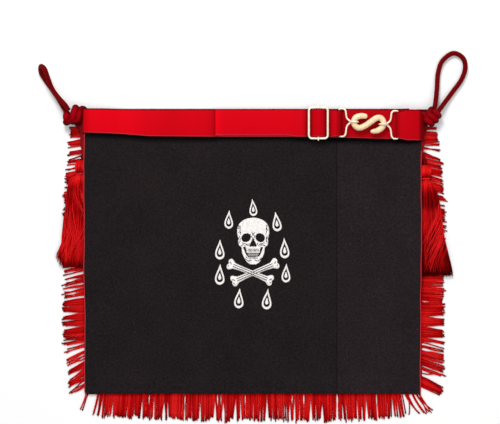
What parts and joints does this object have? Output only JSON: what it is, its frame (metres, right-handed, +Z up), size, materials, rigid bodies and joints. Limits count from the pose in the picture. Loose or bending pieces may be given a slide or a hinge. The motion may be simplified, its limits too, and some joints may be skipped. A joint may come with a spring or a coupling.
{
  "type": "masonic apron",
  "caption": "Ceremonial fringed cloth apron laid face down, with a folded webbing belt, slider, snake hook clasp, corner cord loops, tassels and an embroidered emblem.",
  "frame": {"origin": "on the surface that the apron lies on, under the middle of the apron without its cords", "axes": "+Z up from the surface, +Y towards the belt, +X to the right as the back of the apron is seen"},
  "size_m": [0.5137, 0.445, 0.0197],
  "materials": {
    "apron_cloth": "matt black woven cloth",
    "side_cloth": "matt black woven cloth",
    "webbing": "red ribbed webbing with a slight sheen",
    "fringe": "red twisted rayon thread",
    "tassel_thread": "dark red glossy rayon thread",
    "cord": "dark red braided cord",
    "embroidery": "white satin stitch thread",
    "gilt_wire": "polished pale gilt",
    "gilt_cast": "finely textured pale gilt"
  },
  "bodies": {
    "root": {"panel_main": "apron_cloth", "panel_side": "side_cloth", "adjusting_strap": "webbing", "short_strap": "webbing", "slider": "gilt_wire", "eye_left": "gilt_wire", "eye_right": "gilt_wire", "snake_hook": "gilt_cast", "fringe_left": "fringe", "fringe_right": "fringe", "fringe_bottom": "fringe", "tassel_left_head": "tassel_thread", "tassel_left_skirt": "tassel_thread", "tassel_right_head": "tassel_thread", "tassel_right_skirt": "tassel_thread", "knot_left": "cord", "knot_right": "cord", "loop_cord_left": "cord", "loop_cord_right": "cord", "tassel_cord_left": "cord", "tassel_cord_right": "cord", "skull": "embroidery", "crossbones": "embroidery", "tear_1": "embroidery", "tear_2": "embroidery", "tear_3": "embroidery", "tear_4": "embroidery", "tear_5": "embroidery", "tear_6": "embroidery", "tear_7": "embroidery", "tear_8": "embroidery", "tear_9": "embroidery"}
  },
  "joints": []
}
